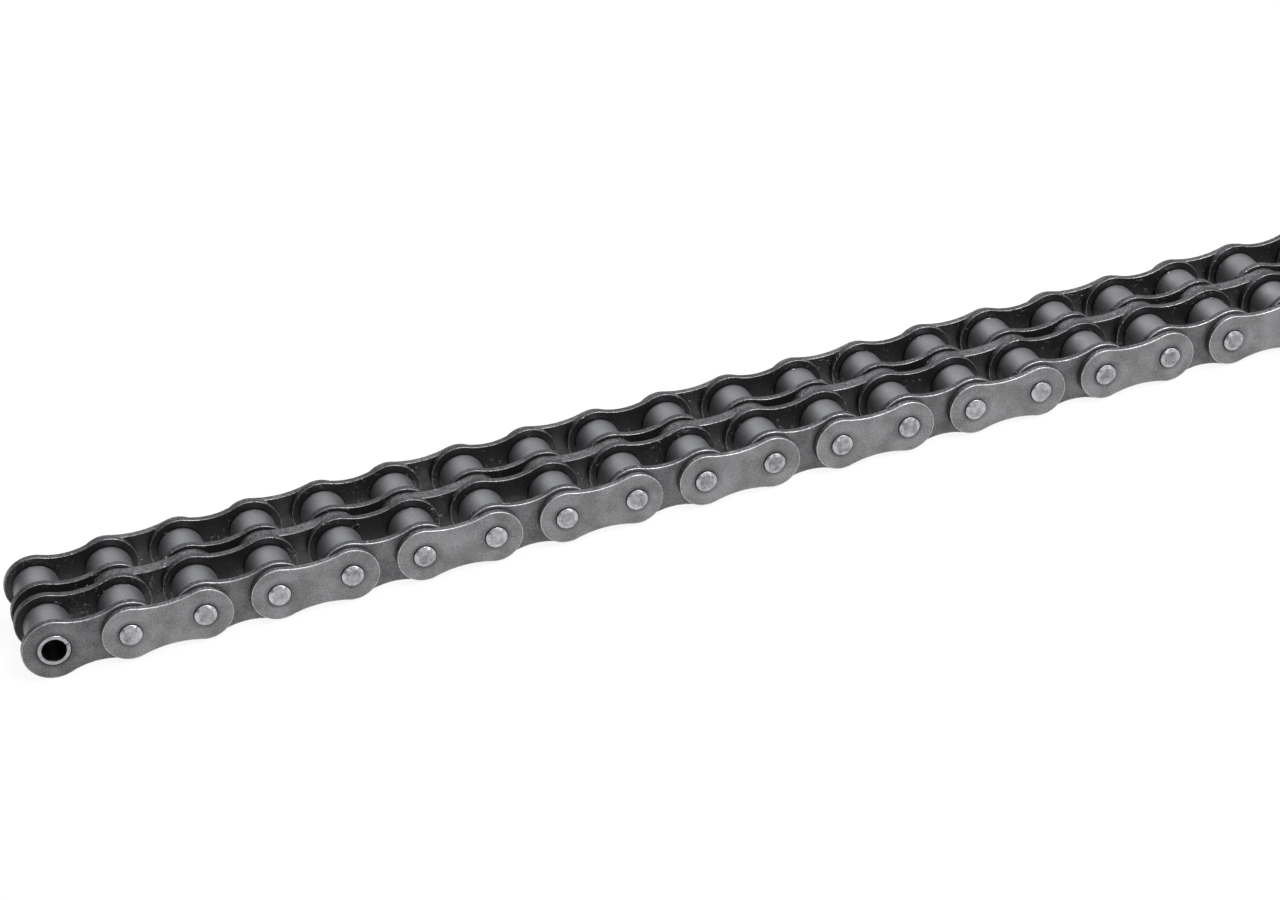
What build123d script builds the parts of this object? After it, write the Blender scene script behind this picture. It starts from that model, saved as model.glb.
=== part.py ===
"""Duplex roller chain, 19.05 mm pitch: a straight run of ten inner and nine outer links.

Axis n of the run lies at X = n * pitch, parallel to Y.  The origin is on axis 0, the open eye of
the first inner link, at mid-width of the chain.  X runs along the chain, Z is up, and the chain
stands on the edges of its inner plates.  Millimetres throughout.
"""
from build123d import *
from math import hypot
import os

# --- the run -------------------------------------------------------------------------------
inner_link_count = 10
pitch = 19.05               # from one axis to the next
strand_spacing = 19.46      # between the middles of the two strands

# --- plates --------------------------------------------------------------------------------
plate_thickness = 1.85
inner_plate_height = 16.10  # across a lobe
inner_waist_height = 12.50  # at the narrowest place, midway between the axes
outer_plate_height = 14.40
outer_waist_height = 11.70
plate_edge_round = 0.25     # edge left by blanking and tumbling

# --- inner link ----------------------------------------------------------------------------
inner_width = 11.68         # between the inner plates of one strand
bush_wall = 1.25
bush_stand = 0.12           # a bush stands this far out of its plate
bush_mouth_chamfer = 0.30   # lead-in at both mouths of the bore
bush_rim_chamfer = 0.15

# --- rollers -------------------------------------------------------------------------------
roller_diameter = 12.07
roller_edge_round = 0.55

# --- pins ----------------------------------------------------------------------------------
pin_diameter = 5.72
pin_stand = 0.35            # full-diameter shank outside the outer plate
head_height = 0.45          # staked end beyond the shank
head_bevel = 0.60           # from the shank's surface in to the flat of the head
head_corner = 1.50          # corner radius of the flat of the head

# --- clearances ----------------------------------------------------------------------------
pin_clearance = 0.04        # radial, pin in bush
roller_clearance = 0.07     # radial, roller on bush
roller_end_play = 0.12      # at each end of a roller
link_side_play = 0.065      # between a bush's end and the plate beside it

# --- derived sizes -------------------------------------------------------------------------
axis_count = 2 * inner_link_count
outer_link_count = inner_link_count - 1
pin_radius = pin_diameter / 2
bush_bore_radius = pin_radius + pin_clearance
bush_radius = bush_bore_radius + bush_wall
roller_radius = roller_diameter / 2
roller_bore_radius = bush_radius + roller_clearance
roller_length = inner_width - 2 * roller_end_play
bush_length = inner_width + 2 * plate_thickness + 2 * bush_stand
outer_width = bush_length + 2 * link_side_play
middle_plate_thickness = strand_spacing - outer_width
strands = (-strand_spacing / 2, strand_spacing / 2)
outer_face = strand_spacing / 2 + outer_width / 2 + plate_thickness
shank_half_length = outer_face + pin_stand


def across(y):
    """The plane that faces along the chain's width, at the given Y."""
    return Plane.XZ.offset(-y)


def axis_x(index):
    """X of one of the run's axes."""
    return index * pitch


def waisted_outline(first_x, height, waist_height):
    """Closed outline of a plate: two round lobes joined by hollow arcs tangent to both."""
    lobe = height / 2
    waist = waist_height / 2
    middle = pitch / 2
    hollow = (middle**2 + waist**2 - lobe**2) / (2 * (lobe - waist))
    centre_height = waist + hollow
    reach = lobe / hypot(middle, centre_height)
    touch_x = middle * reach
    touch_z = centre_height * reach
    left = first_x + touch_x
    right = first_x + pitch - touch_x
    with BuildLine() as outline:
        ThreePointArc((left, touch_z), (first_x + middle, waist), (right, touch_z))
        ThreePointArc((right, touch_z), (first_x + pitch + lobe, 0), (right, -touch_z))
        ThreePointArc((right, -touch_z), (first_x + middle, -waist), (left, -touch_z))
        ThreePointArc((left, -touch_z), (first_x - lobe, 0), (left, touch_z))
    return outline.line


def plate_stack(first_x, height, waist_height, hole_radius, layers):
    """The plates of one link, one for each (middle Y, thickness) in layers."""
    with BuildPart() as plates:
        for middle_y, thickness in layers:
            with BuildSketch(across(middle_y)):
                add(waisted_outline(first_x, height, waist_height))
                make_face()
                with Locations((first_x, 0), (first_x + pitch, 0)):
                    Circle(hole_radius, mode=Mode.SUBTRACT)
            extrude(amount=thickness / 2, both=True)
        flats = plates.faces().filter_by(Axis.Y)
        rims = [edge for face in flats for edge in face.outer_wire().edges()]
        fillet(rims, radius=plate_edge_round)
    return plates


def inner_plates(first_x):
    """Four plates: a pair for each strand, holding the strand's bushes."""
    offset = inner_width / 2 + plate_thickness / 2
    layers = [(y + side * offset, plate_thickness) for y in strands for side in (-1, 1)]
    return plate_stack(first_x, inner_plate_height, inner_waist_height, bush_radius, layers)


def outer_plates(first_x):
    """Two outer plates, and the thick middle plate that the two strands share."""
    offset = outer_face - plate_thickness / 2
    layers = [(-offset, plate_thickness), (0, middle_plate_thickness), (offset, plate_thickness)]
    return plate_stack(first_x, outer_plate_height, outer_waist_height, pin_radius, layers)


def bushes(first_x):
    """Four bushes pressed into the inner plates, with chamfered mouths and rims."""
    with BuildPart() as tubes:
        for middle_y in strands:
            with BuildSketch(across(middle_y)):
                with Locations((first_x, 0), (first_x + pitch, 0)):
                    Circle(bush_radius)
                    Circle(bush_bore_radius, mode=Mode.SUBTRACT)
            extrude(amount=bush_length / 2, both=True)
        ends = tubes.faces().filter_by(Axis.Y)
        mouths = [edge for face in ends for wire in face.inner_wires() for edge in wire.edges()]
        chamfer(mouths, length=bush_mouth_chamfer)
        ends = tubes.faces().filter_by(Axis.Y)
        rims = [edge for face in ends for edge in face.outer_wire().edges()]
        chamfer(rims, length=bush_rim_chamfer)
    return tubes


def roller_pair(x):
    """The two rollers that turn on the bushes of one axis, one in each strand."""
    with BuildPart() as rings:
        for middle_y in strands:
            with BuildSketch(across(middle_y)):
                with Locations((x, 0)):
                    Circle(roller_radius)
                    Circle(roller_bore_radius, mode=Mode.SUBTRACT)
            extrude(amount=roller_length / 2, both=True)
        ends = rings.faces().filter_by(Axis.Y)
        rims = [edge for face in ends for edge in face.outer_wire().edges()]
        fillet(rims, radius=roller_edge_round)
    return rings


def pins(first_x):
    """The two pins of an outer link, each through both strands.

    Both ends are staked: the round shank draws in to a square flat with round corners.
    """
    flat_width = 2 * (pin_radius - head_bevel)
    with BuildPart() as shanks:
        for x in (first_x, first_x + pitch):
            with BuildSketch(across(0)):
                with Locations((x, 0)):
                    Circle(pin_radius)
            extrude(amount=shank_half_length, both=True)
            for side in (-1, 1):
                with BuildSketch(across(side * shank_half_length)):
                    with Locations((x, 0)):
                        Circle(pin_radius)
                with BuildSketch(across(side * (shank_half_length + head_height))):
                    with Locations(Location((x, 0), 45)):
                        RectangleRounded(flat_width, flat_width, head_corner)
                loft()
    return shanks


def save(piece, label):
    """Name a finished sub-part and write it."""
    piece.part.label = label
    export_step(piece.part, f"parts/{label}.step")


os.makedirs("parts", exist_ok=True)

for link in range(inner_link_count):
    start = axis_x(2 * link)
    save(inner_plates(start), f"inner_plates_{link + 1:02d}")
    save(bushes(start), f"bushes_{link + 1:02d}")

for link in range(outer_link_count):
    start = axis_x(2 * link + 1)
    save(outer_plates(start), f"outer_plates_{link + 1:02d}")
    save(pins(start), f"pins_{link + 1:02d}")

for axis in range(axis_count):
    save(roller_pair(axis_x(axis)), f"rollers_{axis + 1:02d}")
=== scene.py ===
"""Looks of a duplex roller chain: oiled steel plates, bushes, rollers and staked pins."""

import bmesh
import bpy
import numpy as np
from mathutils import Matrix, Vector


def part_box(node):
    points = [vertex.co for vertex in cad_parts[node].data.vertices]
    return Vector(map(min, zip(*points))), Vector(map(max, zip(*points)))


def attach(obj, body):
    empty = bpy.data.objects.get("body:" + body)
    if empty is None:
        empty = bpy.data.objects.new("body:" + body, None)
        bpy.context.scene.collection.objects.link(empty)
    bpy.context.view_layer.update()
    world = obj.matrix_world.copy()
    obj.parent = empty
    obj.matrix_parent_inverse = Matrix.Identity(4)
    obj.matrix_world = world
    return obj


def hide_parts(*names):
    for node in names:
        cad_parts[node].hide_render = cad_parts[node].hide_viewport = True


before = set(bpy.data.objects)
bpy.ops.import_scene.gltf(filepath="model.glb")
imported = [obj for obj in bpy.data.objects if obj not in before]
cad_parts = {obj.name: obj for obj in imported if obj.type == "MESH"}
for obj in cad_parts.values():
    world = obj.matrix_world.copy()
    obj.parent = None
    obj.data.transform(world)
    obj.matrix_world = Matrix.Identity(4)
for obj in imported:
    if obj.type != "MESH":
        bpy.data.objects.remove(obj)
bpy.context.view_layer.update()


# === Inner plates ===========================================================================
# Blanked from 1.85 mm strip, shot-peened and blackened by oil, with painted shade on their sides
# inside the chain.  Two stand beside each strand's rollers, and each holds the ends of two bushes
# pressed into its holes.
mm = 0.001
inner_low, inner_high = (np.array(corner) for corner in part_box("inner_plates_01"))
inner_lobe = (inner_high[2] - inner_low[2]) / 2
pitch = (inner_high[0] - inner_low[0]) - 2 * inner_lobe
inner_link_count = sum(name.startswith("inner_plates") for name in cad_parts)
plate_thickness = 1.85 * mm
inner_width = 11.68 * mm
strand_y = inner_high[1] - plate_thickness - inner_width / 2
inner_waist = 6.25 * mm
bush_radius = 4.15 * mm
roll_over = 0.24 * mm       # rounding that blanking and tumbling leave on a plate's rim
inner_mouth = 0.10 * mm     # bevel of the holes' mouths
oil_and_shade_share = 0.4            # how far through the outermost plate's thickness the oil and the painted shade of the inside reach


def put_mesh(name, points, quads, fields):
    """Mesh object from an (n, 3) array of points, an (m, 4) array of corners and point fields.

    Corners that fall together, at seams and poles, are welded.
    """
    mesh = bpy.data.meshes.new(name)
    mesh.from_pydata(points.tolist(), [], quads.tolist())
    for field, values in fields.items():
        layer = mesh.attributes.new(field, "FLOAT", "POINT")
        layer.data.foreach_set("value", np.ascontiguousarray(values, dtype=np.float32))
    shape = bmesh.new()
    shape.from_mesh(mesh)
    bmesh.ops.remove_doubles(shape, verts=shape.verts, dist=0.0005 * mm)
    shape.to_mesh(mesh)
    shape.free()
    mesh.shade_smooth()
    piece = bpy.data.objects.new(name, mesh)
    bpy.context.scene.collection.objects.link(piece)
    return piece


def grid_quads(rows, columns):
    """Corners of the quads of a rows x columns grid of points, numbered row by row."""
    corner = np.arange(rows * columns).reshape(rows, columns)
    quads = np.stack([corner[:-1, :-1], corner[:-1, 1:], corner[1:, 1:], corner[1:, :-1]], -1)
    return quads.reshape(-1, 4)


def half_outline(lobe, waist):
    """The outline of the half of a plate round one hole, anticlockwise.

    A waist arc from the cut at half pitch, the lobe's arc, the other waist arc, then the
    straight cut.  The hollow arcs have the radius at which they touch the lobe's circle.
    Returns its points, their outward normals (none on the cut), which lie on the rim, and
    the waist.
    """
    waist_points, lobe_points, cut_points = 12, 58, 7
    middle = pitch / 2
    hollow = (middle**2 + waist**2 - lobe**2) / (2 * (lobe - waist))
    touch = np.arctan2(waist + hollow, middle)
    turn = np.linspace(0, np.pi / 2 - touch, waist_points)
    upper = np.stack([middle - hollow * np.sin(turn), waist + hollow - hollow * np.cos(turn)], -1)
    upper_normal = np.stack([np.sin(turn), np.cos(turn)], -1)
    round_end = np.linspace(touch, 2 * np.pi - touch, lobe_points + 2)[1:-1]
    lobe_normal = np.stack([np.cos(round_end), np.sin(round_end)], -1)
    flip = np.array([1.0, -1.0])
    cut_z = np.linspace(-waist, waist, cut_points + 2)[1:-1]
    cut = np.stack([np.full(cut_points, middle), cut_z], -1)
    line = np.concatenate([upper, lobe * lobe_normal, (upper * flip)[::-1], cut])
    normal = np.concatenate([upper_normal, lobe_normal, (upper_normal * flip)[::-1], cut * 0])
    on_rim = np.arange(len(line)) < len(line) - cut_points
    return line, normal, on_rim, waist


def round_the_rim(face, roll, side, wall, other=1):
    """Rows of a face, its rounding, the side, the other rounding and face, and the hole's wall.

    The other rounding and face are the first ones in reverse, times other.
    """
    return np.concatenate([face, roll, side, other * roll[::-1], other * face[::-1], wall])


def waisted_plate(outline, hole, thickness, rounding, mouth):
    """Points, quads and fields of one plate, centred on Y = 0 with its first hole at X = 0.

    On each face, rings run from the hole's circle, widened by its mouth, out to the outline
    moved inward by the rounding, as straight blends between the two.  The rim carries on over
    a quarter circle of the rounding's radius, down the sheared side and over the other
    rounding.  The hole's wall closes the loop.  The second half is the first one turned half
    round about the plate's middle.
    """
    line, normal, on_rim, waist = outline
    columns = len(line)
    half = thickness / 2
    heading = np.arctan2(line[:, 1], line[:, 0])
    spoke = np.stack([np.cos(heading), np.sin(heading)], -1)
    inset = line - normal * rounding
    inset[~on_rim, 1] *= (waist - rounding) / waist

    # Rings lie close together by the hole and the rim, where the finish changes.
    blend = np.array([0.0, 0.03, 0.30, 0.65, 0.93, 0.975, 1.0])[:, None, None]
    face = (1 - blend) * spoke * (hole + mouth) + blend * inset
    face_y = np.full(len(face), half)
    # Painted highlight: the rim and the rounding's first rows take the bright worn tone, as rubbed
    # wear and as the highlight line that the rounding catches.
    face_wear_and_highlight = np.append(np.zeros(len(face) - 1), 0.3)
    bend = np.linspace(0, np.pi / 2, 6)[1:]
    roll = inset + normal * rounding * np.sin(bend)[:, None, None]
    roll_y = half - rounding * (1 - np.cos(bend))
    roll_wear_and_highlight = np.array([0.9, 0.9, 0.4, 0.1, 0.0])
    roll_shear = np.append(np.zeros(len(roll) - 1), 0.5)
    drawn_in = np.array([0.004, 0.012, 0.004])[:, None, None] * mm
    side = line - normal * drawn_in
    side_y = np.array([0.55, 0.10, -0.45]) * (half - rounding)
    wall = np.repeat(spoke[None] * hole, 2, 0)
    wall_y = np.array([mouth - half, half - mouth])

    loop = round_the_rim(face, roll, side, wall)
    height = round_the_rim(face_y, roll_y, side_y, wall_y, other=-1)
    wear_and_highlight = round_the_rim(face_wear_and_highlight, roll_wear_and_highlight, 0 * side_y, 0 * wall_y)
    shear = round_the_rim(0 * face_y, roll_shear, 0 * side_y + 1, 0 * wall_y)
    # Painted shade: the ring round each hole, where the pin or bush meets the plate, is darkened
    # towards the oil-black tone, as oil and as the shade in that crevice.
    past_mouth = np.clip(np.hypot(*np.moveaxis(loop, -1, 0)) - hole - mouth, 0, None)
    crevice_shade_reach = 0.20 * mm
    fields = {"rim_wear_and_highlight": wear_and_highlight[:, None] * on_rim, "shear": shear[:, None] * on_rim,
              "crevice_oil_and_shade": np.exp(-past_mouth / crevice_shade_reach)}

    # The grid closes on itself both ways, with no rim where the two halves meet.
    steps = len(loop)
    rows = np.append(np.arange(steps), 0)
    order = np.append(np.arange(columns), 0)
    points = np.stack([loop[..., 0], np.repeat(height[:, None], columns, 1), loop[..., 1]], -1)
    left = points[rows][:, order].reshape(-1, 3)
    right = left * (-1, 1, -1) + (pitch, 0, 0)
    at_cut = ~(on_rim[order[:-1]] & on_rim[order[1:]])
    other_face = len(face) + 2 * len(roll) + len(side)
    kept = np.ones((steps, columns), bool)
    kept[len(face) - 1:other_face, at_cut] = False
    quads = grid_quads(steps + 1, columns + 1).reshape(steps, columns, 4)[kept]
    doubled = {key: np.tile(values[rows][:, order].ravel(), 2) for key, values in fields.items()}
    return np.concatenate([left, right]), np.concatenate([quads, quads + len(left)]), doubled


def stack_pieces(name, piece, places, outermost=0.0):
    """One object of several like pieces: the piece's points moved to each (X, Y) of its places.

    The field oil, the oil film and the painted shade of the chain's inside, is 1 where the
    surface lies further inside the chain than outermost, unless the piece brings its own.
    """
    points, quads, fields = piece
    moved = np.concatenate([points + (x, y, 0) for x, y in places])
    corners = [quads + number * len(points) for number in range(len(places))]
    repeated = {key: np.tile(values, len(places)) for key, values in fields.items()}
    repeated.setdefault("oil_and_inner_shade", (np.abs(moved[:, 1]) < outermost).astype(float))
    return put_mesh(name, moved, np.concatenate(corners), repeated)


def new_group(name, inputs, outputs):
    """An empty shader group with float inputs {name: default} and outputs [(name, type)]."""
    group = bpy.data.node_groups.new(name, "ShaderNodeTree")
    for label, default in inputs.items():
        socket = group.interface.new_socket(label, in_out="INPUT", socket_type="NodeSocketFloat")
        socket.default_value = default
    for label, kind in outputs:
        group.interface.new_socket(label, in_out="OUTPUT", socket_type=kind)
    start = group.nodes.new("NodeGroupInput")
    end = group.nodes.new("NodeGroupOutput")
    return group, start, end


def add_node(tree, kind, links=None, **settings):
    """A node with its settings, and its input sockets linked or set from {socket: value}."""
    node = tree.nodes.new(kind)
    for label, value in settings.items():
        setattr(node, label, value)
    for socket, value in (links or {}).items():
        if isinstance(value, bpy.types.NodeSocket):
            tree.links.new(value, node.inputs[socket])
        else:
            node.inputs[socket].default_value = value
    return node


def peened_grain():
    """Group: the mottled skin of peened, oiled steel, from three sizes of noise in object space.

    Tone is a slow cloud plus a fine speckle, Gloss is where the oil film lies thicker, Relief
    is the height of the fine pits, and Torn is the crumbly break of a sheared side.
    """
    group, start, end = new_group(
        "peened_grain", {"Cloud Size": 6 * mm, "Pit Size": 0.28 * mm},
        [("Tone", "NodeSocketFloat"), ("Gloss", "NodeSocketFloat"), ("Relief", "NodeSocketFloat"),
         ("Torn", "NodeSocketFloat")])
    place = add_node(group, "ShaderNodeTexCoord").outputs["Object"]
    cloud_scale = add_node(group, "ShaderNodeMath", {0: 1.0, 1: start.outputs["Cloud Size"]},
                           operation="DIVIDE")
    pit_scale = add_node(group, "ShaderNodeMath", {0: 1.0, 1: start.outputs["Pit Size"]},
                         operation="DIVIDE")
    cloud = add_node(group, "ShaderNodeTexNoise",
                     {"Vector": place, "Scale": cloud_scale.outputs[0], "Detail": 4.0})
    pits = add_node(group, "ShaderNodeTexNoise",
                    {"Vector": place, "Scale": pit_scale.outputs[0], "Detail": 3.0,
                     "Roughness": 0.65})
    mix = add_node(group, "ShaderNodeMix", {0: 0.55, 2: cloud.outputs[0], 3: pits.outputs[0]})
    film = add_node(group, "ShaderNodeMapRange",
                    {"Value": cloud.outputs[0], "From Min": 0.42, "From Max": 0.62})
    group.links.new(mix.outputs[0], end.inputs["Tone"])
    group.links.new(film.outputs[0], end.inputs["Gloss"])
    torn = add_node(group, "ShaderNodeTexNoise",
                    {"Vector": place, "Scale": 1400.0, "Detail": 2.0, "Roughness": 0.7})
    group.links.new(pits.outputs[0], end.inputs["Relief"])
    group.links.new(torn.outputs[0], end.inputs["Torn"])
    return group


def scratches():
    """Group: sparse handling scratches, as the thin crests of noise stretched three ways.

    A slow second noise breaks each set of lines into short runs.
    """
    group, start, end = new_group("scratches", {"Density": 0.5}, [("Mask", "NodeSocketFloat")])
    place = add_node(group, "ShaderNodeTexCoord").outputs["Object"]
    masks = []
    for turn, shift in ((0.55, 0.1), (-0.95, 0.4), (1.9, 0.7)):
        spin = add_node(group, "ShaderNodeMapping",
                        {"Vector": place, "Rotation": (0, turn, 0),
                         "Location": (shift, 0, shift),
                         "Scale": (0.20 * mm, 3 * mm, 9 * mm)}, vector_type="TEXTURE")
        lines = add_node(group, "ShaderNodeTexNoise",
                         {"Vector": spin.outputs[0], "Scale": 1.0, "Detail": 0.0})
        crest = add_node(group, "ShaderNodeMapRange",
                         {"Value": lines.outputs[0], "From Min": 0.72, "From Max": 0.80})
        masks.append(crest.outputs[0])
    pair = add_node(group, "ShaderNodeMath", {0: masks[0], 1: masks[1]}, operation="MAXIMUM")
    every = add_node(group, "ShaderNodeMath", {0: pair.outputs[0], 1: masks[2]},
                     operation="MAXIMUM")
    patch = add_node(group, "ShaderNodeTexNoise", {"Vector": place, "Scale": 140.0})
    runs = add_node(group, "ShaderNodeMapRange",
                    {"Value": patch.outputs[0], "From Min": 0.48, "From Max": 0.60})
    some = add_node(group, "ShaderNodeMath", {0: every.outputs[0], 1: runs.outputs[0]},
                    operation="MULTIPLY")
    thin = add_node(group, "ShaderNodeMath", {0: some.outputs[0], 1: start.outputs["Density"]},
                    operation="MULTIPLY")
    group.links.new(thin.outputs[0], end.inputs["Mask"])
    return group


def oil_beads():
    """Group: sparse beads of oil, the peaks of one noise kept where a slower one is high."""
    group, _, end = new_group("oil_beads", {}, [("Height", "NodeSocketFloat")])
    place = add_node(group, "ShaderNodeTexCoord").outputs["Object"]
    drops = add_node(group, "ShaderNodeTexNoise", {"Vector": place, "Scale": 900.0, "Detail": 0.0})
    peaks = add_node(group, "ShaderNodeMapRange",
                     {"Value": drops.outputs[0], "From Min": 0.63, "From Max": 0.74})
    spread = add_node(group, "ShaderNodeTexNoise", {"Vector": place, "Scale": 110.0})
    wet = add_node(group, "ShaderNodeMapRange",
                   {"Value": spread.outputs[0], "From Min": 0.50, "From Max": 0.57})
    both = add_node(group, "ShaderNodeMath", {0: peaks.outputs[0], 1: wet.outputs[0]},
                    operation="MULTIPLY")
    group.links.new(both.outputs[0], end.inputs["Height"])
    return group


# The oil-black tone, which also paints the shade inside the chain and in its hollows.
oil_and_shade_black = (0.014, 0.014, 0.015)
grain_group = peened_grain()
scratch_group = scratches()
bead_group = oil_beads()


def steel(name, dark, light, worn_and_highlight, roughness, pit_size=0.28 * mm, pit_depth=0.012 * mm,
          scratch=0.12, film=0.0):
    """Oiled steel: dark to light by the grain, the worn tone along rims and scratches.

    Point fields say where: rim is an edge rubbed bright, whose worn tone also paints a highlight
    along it, shear the torn, darker side of a blanked plate, well the oily ring round a hole,
    which also paints the shade in that crevice, and oil the inside of the chain, where the film
    stays thick, black and wet, and whose oil-black tone also paints the shade between the parts.
    """
    material = bpy.data.materials.new(name)
    material.use_nodes = True
    tree = material.node_tree
    shader = tree.nodes["Principled BSDF"]
    grain = add_node(tree, "ShaderNodeGroup", node_tree=grain_group)
    grain.inputs["Pit Size"].default_value = pit_size
    marks = add_node(tree, "ShaderNodeGroup", node_tree=scratch_group)
    marks.inputs["Density"].default_value = scratch
    rim_wear_and_highlight, shear, crevice_oil_and_shade, oil_and_inner_shade = (add_node(tree, "ShaderNodeAttribute", attribute_name=field)
                             .outputs["Fac"] for field in ("rim_wear_and_highlight", "shear", "crevice_oil_and_shade", "oil_and_inner_shade"))
    tone = add_node(tree, "ShaderNodeMapRange",
                    {"Value": grain.outputs["Tone"], "From Min": 0.38, "From Max": 0.62})
    base = add_node(tree, "ShaderNodeMix",
                    {0: tone.outputs[0], 6: (*dark, 1), 7: (*light, 1)}, data_type="RGBA")
    # Painted shade and oil: the inside of the chain, and the hollows round holes and in bores, are
    # mixed towards the oil-black tone below.
    wiped = add_node(tree, "ShaderNodeMapRange", {"Value": shear, "To Min": 0.78, "To Max": 0.15})
    wet = add_node(tree, "ShaderNodeMath", {0: oil_and_inner_shade, 1: wiped.outputs[0]}, operation="MULTIPLY")
    wet_and_shaded = add_node(tree, "ShaderNodeMath", {0: wet.outputs[0], 1: crevice_oil_and_shade}, operation="MAXIMUM")
    crumb = add_node(tree, "ShaderNodeMapRange",
                     {"Value": grain.outputs["Torn"], "From Min": 0.38, "From Max": 0.60,
                      "To Min": 0.75, "To Max": 0.0})
    torn = add_node(tree, "ShaderNodeMath", {0: shear, 1: crumb.outputs[0]},
                    operation="MULTIPLY")
    darker = add_node(tree, "ShaderNodeMath", {0: wet_and_shaded.outputs[0], 1: torn.outputs[0]},
                      operation="MAXIMUM")
    oiled_and_shaded = add_node(tree, "ShaderNodeMix",
                     {0: darker.outputs[0], 6: base.outputs[2], 7: (*oil_and_shade_black, 1)},
                     data_type="RGBA")
    # Painted highlight: rims take the bright worn tone, as rubbed wear and as the highlight along
    # them; the scratches are wear alone.
    rubbed_and_highlight = add_node(tree, "ShaderNodeMath", {0: rim_wear_and_highlight, 1: marks.outputs["Mask"]},
                      operation="MAXIMUM")
    broken = add_node(tree, "ShaderNodeMapRange",
                      {"Value": grain.outputs["Torn"], "From Min": 0.36, "From Max": 0.58,
                       "To Min": 0.25, "To Max": 1.0})
    sheltered = add_node(tree, "ShaderNodeMath", {0: oil_and_inner_shade, 1: -0.45, 2: 1.0},
                         operation="MULTIPLY_ADD")
    patchy = add_node(tree, "ShaderNodeMath", {0: rubbed_and_highlight.outputs[0], 1: broken.outputs[0]},
                      operation="MULTIPLY")
    wear_and_highlight = add_node(tree, "ShaderNodeMath", {0: patchy.outputs[0], 1: sheltered.outputs[0]},
                    operation="MULTIPLY")
    colour = add_node(tree, "ShaderNodeMix",
                      {0: wear_and_highlight.outputs[0], 6: oiled_and_shaded.outputs[2], 7: (*worn_and_highlight, 1)},
                      data_type="RGBA")
    rough = add_node(tree, "ShaderNodeMapRange",
                     {"Value": grain.outputs["Gloss"], "To Min": roughness + 0.06,
                      "To Max": roughness - 0.06})
    bump = add_node(tree, "ShaderNodeBump",
                    {"Height": grain.outputs["Relief"], "Strength": 0.6, "Distance": pit_depth})
    beads = add_node(tree, "ShaderNodeGroup", node_tree=bead_group)
    raised = add_node(tree, "ShaderNodeMath", {0: beads.outputs["Height"], 1: oil_and_inner_shade},
                      operation="MULTIPLY")
    swell = add_node(tree, "ShaderNodeBump",
                     {"Height": raised.outputs[0], "Distance": film * 0.5 * mm,
                      "Normal": bump.outputs[0]})
    beaded = add_node(tree, "ShaderNodeMath", {0: beads.outputs["Height"], 1: 3.0},
                      operation="MULTIPLY", use_clamp=True)
    skin = add_node(tree, "ShaderNodeMath", {0: grain.outputs["Gloss"], 1: 0.25},
                    operation="MULTIPLY")
    pool = add_node(tree, "ShaderNodeMath", {0: skin.outputs[0], 1: beaded.outputs[0]},
                    operation="MAXIMUM")
    lying = add_node(tree, "ShaderNodeMath", {0: pool.outputs[0], 1: oil_and_inner_shade}, operation="MULTIPLY")
    coat = add_node(tree, "ShaderNodeMath", {0: lying.outputs[0], 1: film},
                    operation="MULTIPLY")
    tree.links.new(colour.outputs[2], shader.inputs["Base Color"])
    tree.links.new(rough.outputs[0], shader.inputs["Roughness"])
    tree.links.new(swell.outputs[0], shader.inputs["Normal"])
    tree.links.new(coat.outputs[0], shader.inputs["Coat Weight"])
    shader.inputs["Coat Roughness"].default_value = 0.06
    shader.inputs["Metallic"].default_value = 0.85
    return material


inner_finish = steel("inner_plate_finish", (0.075, 0.075, 0.078), (0.165, 0.166, 0.170),
                     (0.50, 0.50, 0.51), 0.40, pit_size=0.5 * mm, film=1.0)
inner_plate = waisted_plate(half_outline(inner_lobe, inner_waist), bush_radius, plate_thickness,
                            roll_over, inner_mouth)
plate_offset = (inner_width + plate_thickness) / 2
plate_lines = [side * strand_y + face * plate_offset for side in (-1, 1) for face in (-1, 1)]
for link in range(inner_link_count):
    places = [(2 * link * pitch, y) for y in plate_lines]
    # Painted shade: the plates' sides that face inward are darkened towards the oil-black tone.
    plates = stack_pieces(f"inner_plate_set_{link + 1:02d}", inner_plate, places,
                          strand_y + inner_width / 2 + oil_and_shade_share * plate_thickness)
    plates.data.materials.append(inner_finish)
    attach(plates, f"inner_link_{link + 1:02d}")
    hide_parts(f"inner_plates_{link + 1:02d}")


# === Bushes =================================================================================
# Short tubes curled from strip, hardened and pressed into the inner plates.  Their ends stand
# a little proud and are rubbed bright, with a painted highlight on them, the bore is darkened as
# painted shade, and the butt seam of the curl shows on the end.
bush_bore = 2.90 * mm
bush_stand = 0.12 * mm
bush_half = inner_width / 2 + plate_thickness + bush_stand
bush_mouth = 0.30 * mm      # bevel of the bore's mouth
bush_lip = 0.04 * mm        # the bevel's outer corner is broken by this much either way
bush_round = 0.20 * mm      # rounding of the outer rim
bush_bright_end = 0.15 * mm     # how much of the end is rubbed bright and carries a painted highlight
bush_wear_and_highlight = 0.35
plain_bore = 4 * mm         # from the end to the bore's next ring of points
hold = 0.10 * mm            # from a rounding to the ring that keeps its shading in
seam_heading = np.radians(12)
seam_width = 0.28 * mm
seam_depth = 0.30 * mm
seam_nick = 0.05 * mm       # depth of the seam in the outer rim
seam_reach = 1.0 * mm       # the seam opens over this last stretch


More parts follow.
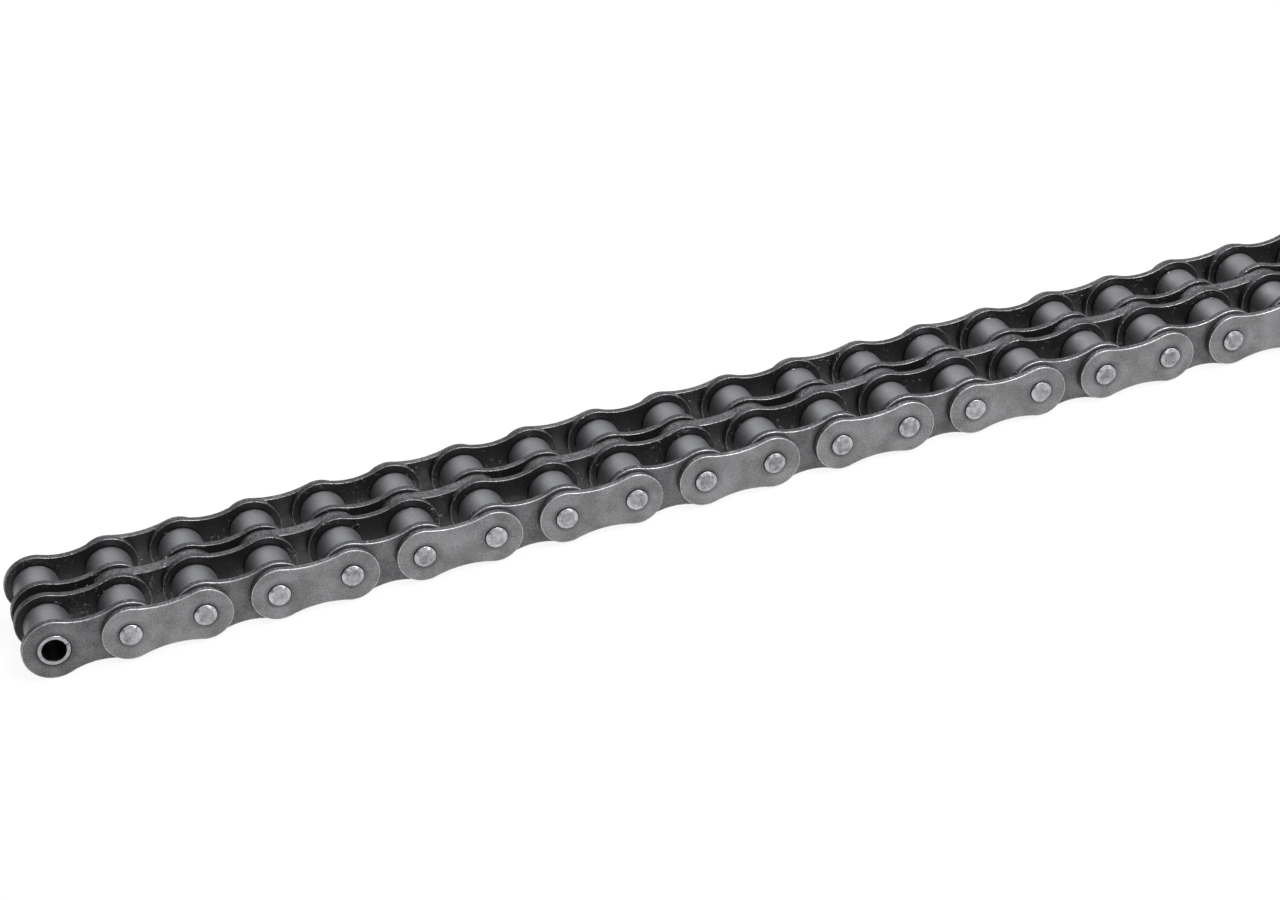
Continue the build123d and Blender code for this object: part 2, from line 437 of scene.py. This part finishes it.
def turned(profile, angle, shaped=None):
    """Points and quads of a profile of (radius, Y) points turned about Y to each angle.

    shaped, if given, takes the grids of radius, Y and angle and returns a new radius and Y.
    """
    radius, along = (np.repeat(np.array(column)[:, None], len(angle), 1)
                     for column in zip(*profile))
    if shaped is not None:
        radius, along = shaped(radius, along, angle[None])
    points = np.stack([radius * np.cos(angle), along, radius * np.sin(angle)], -1)
    return points.reshape(-1, 3), grid_quads(len(profile), len(angle))


def quarter(centre, radius, start, end, steps):
    """Profile points on an arc about centre, from one heading in degrees to another."""
    heading = np.radians(np.linspace(start, end, steps))
    return [(centre[0] + radius * c, centre[1] + radius * s)
            for c, s in zip(np.cos(heading), np.sin(heading))]


def bush_profile():
    """Section of a bush from the middle of the bore round one end, and its mirror image."""
    end = bush_half
    mouth = bush_bore + bush_mouth
    upper = [(bush_bore, 0), (bush_bore, end - plain_bore), (bush_bore, end - bush_mouth - hold),
             (bush_bore, end - bush_mouth), (mouth - bush_lip, end - 1.25 * bush_lip),
             (mouth + bush_lip, end), (bush_radius - bush_round - 0.7 * hold, end)]
    upper += quarter((bush_radius - bush_round, end - bush_round), bush_round, 90, 0, 6)
    upper += [(bush_radius, end - bush_round - hold)]
    return upper + [(radius, -along) for radius, along in upper[::-1]]


def butt_seam(radius, along, angle):
    """Sinks the end faces and the rim into a narrow groove where the curled strip's ends meet.

    The groove is a V across the seam's width, and it deepens evenly over its reach.
    """
    off = np.abs(np.angle(np.exp(1j * (angle - seam_heading)))) * bush_radius
    groove = np.clip(1 - off / seam_width, 0, 1)
    near_end = np.clip((np.abs(along) - bush_half + seam_reach) / seam_reach, 0, 1)
    sunk = along - np.sign(along) * groove * seam_depth * near_end
    return radius - groove * seam_nick * (radius > bush_bore + bush_mouth), sunk


bush_section = bush_profile()
bush_turn = np.linspace(0, 2 * np.pi, 73)
seam_turn = seam_heading + np.array([-1.1, -0.8, 0, 0.8, 1.1]) * seam_width / bush_radius
bush_turn = np.sort(np.concatenate([bush_turn, seam_turn]))
bush_points, bush_quads = turned(bush_section, bush_turn, butt_seam)
# Painted shade: the bore, its mouth and the seam's groove are darkened towards the oil-black tone,
# as the shade in these hollows and as oil.
bush_crevice_shade = np.repeat([radius < bush_bore + bush_mouth for radius, _ in bush_section],
                      len(bush_turn)).astype(float)
seam_field = np.exp(-((bush_turn - seam_heading) * bush_radius / (0.5 * seam_width))**2)
bush_crevice_shade = np.maximum(bush_crevice_shade, np.tile(seam_field, len(bush_section)))
bush_rub_and_highlight = np.repeat([bush_wear_and_highlight if abs(along) > bush_half - bush_bright_end else 0.0
                      for _, along in bush_section], len(bush_turn)) * (1 - bush_crevice_shade)
bush_fields = {"rim_wear_and_highlight": bush_rub_and_highlight, "crevice_oil_and_shade": bush_crevice_shade, "shear": 0 * bush_crevice_shade}
bush_finish = steel("bush_finish", (0.19, 0.19, 0.20), (0.30, 0.30, 0.31),
                    (0.60, 0.60, 0.62), 0.30, pit_size=0.3 * mm, pit_depth=0.008 * mm)
for link in range(inner_link_count):
    places = [((2 * link + step) * pitch, side * strand_y) for step in (0, 1)
              for side in (-1, 1)]
    # Painted shade: the halves of the bushes between the strands are darkened as the inside of the
    # chain.
    tubes = stack_pieces(f"bush_set_{link + 1:02d}", (bush_points, bush_quads, bush_fields), places,
                         strand_y)
    tubes.data.materials.append(bush_finish)
    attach(tubes, f"inner_link_{link + 1:02d}")
    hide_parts(f"bushes_{link + 1:02d}")


# === Rollers ================================================================================
# Hardened rings, one on each bush, free to turn.  Tumbled satin, with well rounded ends; the
# bore clears the bush by a few hundredths.
roller_low, roller_high = (np.array(corner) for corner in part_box("rollers_01"))
roller_radius = (roller_high[2] - roller_low[2]) / 2
roller_half = roller_high[1] - strand_y
roller_bore = 4.22 * mm
roller_mouth = 0.15 * mm
roller_round = 0.55 * mm
roller_wear_and_highlight = 0.35
bright_end_reach = 0.25 * mm      # over which the rubbing of the ends, and its painted highlight, fades
oil_and_shade_reach = 0.9 * mm        # how far in from the ends the oil and the painted shade beside the plates lie
oil_and_shade_fade = 0.5 * mm
roller_count = 2 * inner_link_count
roller_upper = [(roller_bore, 0), (roller_bore, roller_half - roller_mouth),
                (roller_bore + roller_mouth, roller_half),
                (roller_radius - roller_round - hold, roller_half)]
roller_upper += quarter((roller_radius - roller_round, roller_half - roller_round),
                        roller_round, 90, 0, 8)
roller_upper += [(roller_radius, roller_half - roller_round - 2 * hold),
                 (roller_radius, roller_half - oil_and_shade_reach), (roller_radius, roller_half * 0.4)]
roller_section = roller_upper + [(radius, -along) for radius, along in roller_upper[::-1]]
roller_turn = np.linspace(0, 2 * np.pi, 97)
roller_points, roller_quads = turned(roller_section, roller_turn)
# Painted highlight: the end roundings take the bright worn tone, as rubbed wear and as a highlight.
roller_edge = np.array([np.exp(-abs(abs(along) - roller_half + bright_end_reach) / bright_end_reach)
                        * (radius > roller_radius - roller_round) * roller_wear_and_highlight
                        for radius, along in roller_section])
roller_rim = np.repeat(roller_edge, len(roller_turn))
roller_bare = np.zeros(len(roller_points))
# Painted shade: the ends of each roller, beside the plates, are darkened towards the oil-black tone
# as the shade there, and carry the oil's coat.
roller_oil_and_shade = np.repeat([np.clip((abs(along) - roller_half + oil_and_shade_reach) / oil_and_shade_fade, 0, 1)
                        for _, along in roller_section], len(roller_turn))
roller_fields = {"rim_wear_and_highlight": roller_rim, "crevice_oil_and_shade": roller_bare, "shear": roller_bare,
                 "oil_and_inner_shade": roller_oil_and_shade}
roller_finish = steel("roller_finish", (0.185, 0.185, 0.193), (0.270, 0.270, 0.280),
                      (0.34, 0.34, 0.35), 0.45, pit_size=0.4 * mm, pit_depth=0.012 * mm,
                      scratch=0.1, film=1.0)
for axis in range(roller_count):
    places = [(axis * pitch, side * strand_y) for side in (-1, 1)]
    rings = stack_pieces(f"roller_set_{axis + 1:02d}", (roller_points, roller_quads, roller_fields),
                         places)
    rings.data.materials.append(roller_finish)
    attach(rings, f"roller_pair_{axis + 1:02d}")
    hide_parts(f"rollers_{axis + 1:02d}")


# === Outer and middle plates ================================================================
# The outer link's plates: two thin ones outside, and between the strands one of twice the
# thickness.  Lower than the inner plates, and blanked and peened like them.
outer_low, outer_high = (np.array(corner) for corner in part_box("outer_plates_01"))
outer_lobe = (outer_high[2] - outer_low[2]) / 2
outer_waist = 5.85 * mm
pin_radius = 2.86 * mm
outer_mouth = 0.12 * mm
side_play = 0.065 * mm      # between a bush's end and the plate beside it
outer_y = outer_high[1] - plate_thickness / 2
middle_thickness = 2 * (strand_y - bush_half - side_play)
outer_link_count = inner_link_count - 1
outer_finish = steel("outer_plate_finish", (0.130, 0.130, 0.133), (0.255, 0.256, 0.261),
                     (0.55, 0.55, 0.56), 0.42, pit_size=0.5 * mm, film=0.8)
outer_outline = half_outline(outer_lobe, outer_waist)
outer_plate = waisted_plate(outer_outline, pin_radius, plate_thickness, roll_over, outer_mouth)
middle_plate = waisted_plate(outer_outline, pin_radius, middle_thickness, roll_over, outer_mouth)
for link in range(outer_link_count):
    start = (2 * link + 1) * pitch
    # Painted shade: the outer plates' inner sides and the whole middle plate lie inside the chain
    # and are darkened towards the oil-black tone.
    outer = stack_pieces(f"outer_plate_pair_{link + 1:02d}", outer_plate,
                         [(start, -outer_y), (start, outer_y)],
                         outer_y + (oil_and_shade_share - 0.5) * plate_thickness)
    middle = stack_pieces(f"middle_plate_{link + 1:02d}", middle_plate, [(start, 0)], outer_y)
    for plates in (outer, middle):
        plates.data.materials.append(outer_finish)
        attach(plates, f"outer_link_{link + 1:02d}")
        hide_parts(f"outer_plates_{link + 1:02d}")


# === Pins ===================================================================================
# Ground bar pressed through the three plates of an outer link, across both strands.  A staking
# tool draws each end in to a rounded square, which locks the plate and leaves bright facets; their
# bright tone and the flat's are partly a painted highlight.
_, pin_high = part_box("pins_01")
pin_half = pin_high[1]
head_height = 0.45 * mm
head_bevel = 0.72 * mm
head_round = 0.12 * mm      # rounding of the bevel's two corners
head_hollow = 0.03 * mm     # dish of the flat that is left
facet_draw = 0.13           # share of the radius that a facet loses at the tip
facet_sink = 0.08 * mm
facet_wear_and_highlight, flat_wear_and_highlight = 0.6, 0.1
shank_half = pin_half - head_height
running_half = outer_y - plate_thickness / 2      # up to the outer plates
running_radius = pin_radius - 0.03 * mm           # eased where the bushes turn on it


def staked(radius, along, angle):
    """Draws a pin's end in at four headings, more so towards the tip, and leaves the shank.

    The lobes follow a squared cosine, so each facet is flat in the middle and the corners
    between the facets keep the shank's radius.
    """
    past = np.clip((np.abs(along) - shank_half) / head_height, 0, 1)
    facet = np.cos(2 * angle) ** 2
    sunk = facet_sink * past * facet * np.minimum(radius / (pin_radius - head_bevel), 1)
    return radius * (1 - facet_draw * past * facet), along - np.sign(along) * sunk


head = [(running_radius, shank_half * 0.5), (running_radius, running_half),
        (pin_radius, running_half + hold), (pin_radius, shank_half - hold / 2)]
head += quarter((pin_radius - head_round, shank_half), head_round, 0, 42, 4)
head += quarter((pin_radius - head_bevel - head_round / 6, pin_half - head_round), head_round,
                48, 90, 4)
head += [(pin_radius - head_bevel - head_round, pin_half - head_hollow / 15),
         (pin_radius * 0.45, pin_half - head_hollow * 2 / 3), (0, pin_half - head_hollow)]
pin_section = head[::-1] + [(radius, -along) for radius, along in head]
pin_turn = np.linspace(0, 2 * np.pi, 73)
pin_points, pin_quads = turned(pin_section, pin_turn, staked)
# Painted highlight: the head's bevel and flat take the bright worn tone, as staking wear and as a
# highlight.
pin_edge = np.array([0.0 if abs(along) < shank_half else
                     facet_wear_and_highlight if radius > pin_radius - head_bevel else flat_wear_and_highlight
                     for radius, along in pin_section])
pin_rim = np.repeat(pin_edge, len(pin_turn))
pin_bare = np.zeros(len(pin_points))
pin_fields = {"rim_wear_and_highlight": pin_rim, "crevice_oil_and_shade": pin_bare, "shear": pin_bare}
pin_finish = steel("pin_finish", (0.13, 0.13, 0.135), (0.40, 0.40, 0.41),
                   (0.62, 0.62, 0.64), 0.30, pit_size=1.3 * mm, pit_depth=0.12 * mm)
for link in range(outer_link_count):
    start = (2 * link + 1) * pitch
    # Painted shade: the pins' middles between the strands are darkened as the inside of the chain.
    shanks = stack_pieces(f"pin_pair_{link + 1:02d}", (pin_points, pin_quads, pin_fields),
                          [(start, 0), (start + pitch, 0)], strand_y)
    shanks.data.materials.append(pin_finish)
    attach(shanks, f"outer_link_{link + 1:02d}")
    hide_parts(f"pins_{link + 1:02d}")


# === Floor, light and camera ================================================================
# A pale floor at the level of the plates' lower edges, a white surround, a broad soft lamp
# above and a key lamp in front.  The floor is a thin veil that takes the shadow, so that links
# folded below its level still show.  The camera looks down along the run from its open end.
floor_level = inner_low[2]
floor_size = 6.0
floor_middle = 0.2          # about the middle of the run, from where the floor fades away
bpy.ops.mesh.primitive_plane_add(size=floor_size, location=(floor_middle, 0, floor_level))
floor = bpy.context.object
floor.name = "floor"
floor_paint = bpy.data.materials.new("floor_paint")
floor_paint.use_nodes = True
floor_shader = floor_paint.node_tree.nodes["Principled BSDF"]
floor_shader.inputs["Base Color"].default_value = (0.93, 0.93, 0.93, 1)
floor_shader.inputs["Roughness"].default_value = 0.9
floor_tree = floor_paint.node_tree


def ray_share(tree, *kinds):
    """1 for rays of any of the named kinds of Light Path, else 0."""
    path = add_node(tree, "ShaderNodeLightPath")
    share = path.outputs[kinds[0]]
    for kind in kinds[1:]:
        share = add_node(tree, "ShaderNodeMath", {0: share, 1: path.outputs[kind]},
                         operation="MAXIMUM").outputs[0]
    return share


clear = add_node(floor_tree, "ShaderNodeBsdfTransparent")
spot = add_node(floor_tree, "ShaderNodeTexCoord").outputs["Object"]
reach = add_node(floor_tree, "ShaderNodeVectorMath", {0: spot}, operation="LENGTH")
fade = add_node(floor_tree, "ShaderNodeMapRange",
                {"Value": reach.outputs["Value"], "From Min": 0.35, "From Max": 0.9,
                 "To Min": 0.90, "To Max": 1.0})
seen_floor = ray_share(floor_tree, "Is Camera Ray", "Is Glossy Ray", "Is Transmission Ray")
seen_share = add_node(floor_tree, "ShaderNodeMath", {0: seen_floor, 1: fade.outputs[0]},
                      operation="MULTIPLY")
share = add_node(floor_tree, "ShaderNodeMath",
                 {0: seen_share.outputs[0], 1: ray_share(floor_tree, "Is Shadow Ray")},
                 operation="MAXIMUM")
floor_mix = add_node(floor_tree, "ShaderNodeMixShader",
                     {0: share.outputs[0], 1: floor_shader.outputs[0], 2: clear.outputs[0]})
floor_tree.links.new(floor_mix.outputs[0],
                     floor_tree.nodes["Material Output"].inputs["Surface"])
floor.data.materials.append(floor_paint)

scene = bpy.context.scene
scene.view_settings.view_transform = "Standard"
world = bpy.data.worlds.new("studio")
scene.world = world
world.use_nodes = True
sky = world.node_tree
heading = add_node(sky, "ShaderNodeTexCoord").outputs["Generated"]
toward = add_node(sky, "ShaderNodeSeparateXYZ", {0: heading})
dome = add_node(sky, "ShaderNodeMapRange",
                {"Value": toward.outputs["Z"], "From Min": 0.10, "From Max": 0.6,
                 "To Min": 0.28, "To Max": 0.85})
dark_end = add_node(sky, "ShaderNodeMapRange",
                    {"Value": toward.outputs["X"], "From Min": -0.55, "From Max": -0.25,
                     "To Min": 0.12, "To Max": 1.0})
shaded = add_node(sky, "ShaderNodeMath", {0: dome.outputs[0], 1: dark_end.outputs[0]},
                  operation="MULTIPLY")
ambient = sky.nodes["Background"]
ambient.inputs["Color"].default_value = (0.95, 0.97, 1.0, 1)
sky.links.new(shaded.outputs[0], ambient.inputs["Strength"])
backdrop = add_node(sky, "ShaderNodeBackground", {"Color": (1, 1, 1, 1), "Strength": 1.0})
low = add_node(sky, "ShaderNodeMapRange",
               {"Value": toward.outputs["Z"], "From Min": 0.02, "From Max": 0.15,
                "To Min": 1.0, "To Max": 0.0})
mirrored = add_node(sky, "ShaderNodeMath",
                    {0: ray_share(sky, "Is Glossy Ray", "Is Transmission Ray"),
                     1: low.outputs[0]}, operation="MULTIPLY")
white_share = add_node(sky, "ShaderNodeMath",
                       {0: ray_share(sky, "Is Camera Ray"), 1: mirrored.outputs[0]},
                       operation="MAXIMUM")
choose = add_node(sky, "ShaderNodeMixShader",
                  {0: white_share.outputs[0], 1: ambient.outputs[0], 2: backdrop.outputs[0]})
sky.links.new(choose.outputs[0], sky.nodes["World Output"].inputs["Surface"])


def soft_lamp(name, place, target, width, height, watts):
    """A rectangular lamp at place, facing target."""
    lamp = bpy.data.lights.new(name, "AREA")
    lamp.shape = "RECTANGLE"
    lamp.size, lamp.size_y, lamp.energy = width, height, watts
    holder = bpy.data.objects.new(name, lamp)
    away = np.array(place, float) - np.array(target, float)
    away /= np.linalg.norm(away)
    across = np.cross((0, 0, 1.0), away)
    across /= np.linalg.norm(across)
    up = np.cross(away, across)
    turn = Matrix(np.stack([across, up, away], -1).tolist()).to_4x4()
    holder.matrix_world = Matrix.Translation(place) @ turn
    scene.collection.objects.link(holder)


soft_lamp("top_lamp", (0.45, 0.55, 1.5), (0.19, 0, 0), 1.6, 0.9, 13.0)
soft_lamp("key_lamp", (0.85, -0.9, 1.2), (0.26, 0, 0), 0.9, 0.5, 29.0)

camera_place = (-0.0080, -0.6446, 0.3914)
yaw, tilt, roll = 0.254837, -0.528475, -0.126646      # radians
ahead = np.array([np.sin(yaw) * np.cos(tilt), np.cos(yaw) * np.cos(tilt), np.sin(tilt)])
level = np.array([np.cos(yaw), -np.sin(yaw), 0.0])
upright = np.cross(level, ahead)
right_side = level * np.cos(roll) + upright * np.sin(roll)
top_side = upright * np.cos(roll) - level * np.sin(roll)
camera_data = bpy.data.cameras.new("camera")
camera_data.sensor_width = 36.0
camera_data.lens = 82.05
camera = bpy.data.objects.new("camera", camera_data)
facing = Matrix(np.stack([right_side, top_side, -ahead], -1).tolist()).to_4x4()
camera.matrix_world = Matrix.Translation(camera_place) @ facing
scene.collection.objects.link(camera)
scene.camera = camera
